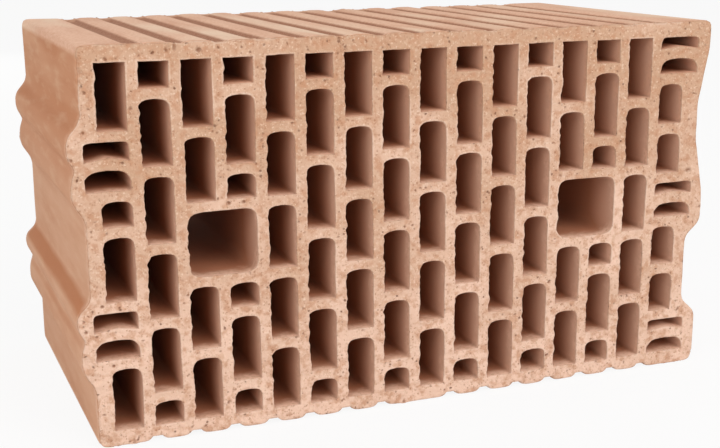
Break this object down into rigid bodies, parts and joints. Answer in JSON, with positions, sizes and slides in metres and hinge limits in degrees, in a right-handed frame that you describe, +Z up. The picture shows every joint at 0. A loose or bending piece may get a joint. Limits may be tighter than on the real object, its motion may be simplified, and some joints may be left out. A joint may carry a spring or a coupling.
{
  "type": "hollow clay brick",
  "caption": "Hollow fired clay wall block with staggered through cells, hand grips, interlocking tongued ends and grooved faces that key plaster",
  "frame": {"origin": "middle of the underside, the grooved face that the block lies on", "axes": "+X runs along the wall, from the end with two tongues to the end with three; Y runs along the perforations, from bed face to bed face; +Z is up, across the wall's thickness"},
  "size_m": [0.45, 0.238, 0.25],
  "materials": {
    "fired_clay": "matt, open-pored"
  },
  "bodies": {
    "root": {"clay_block": "fired_clay"}
  },
  "joints": []
}
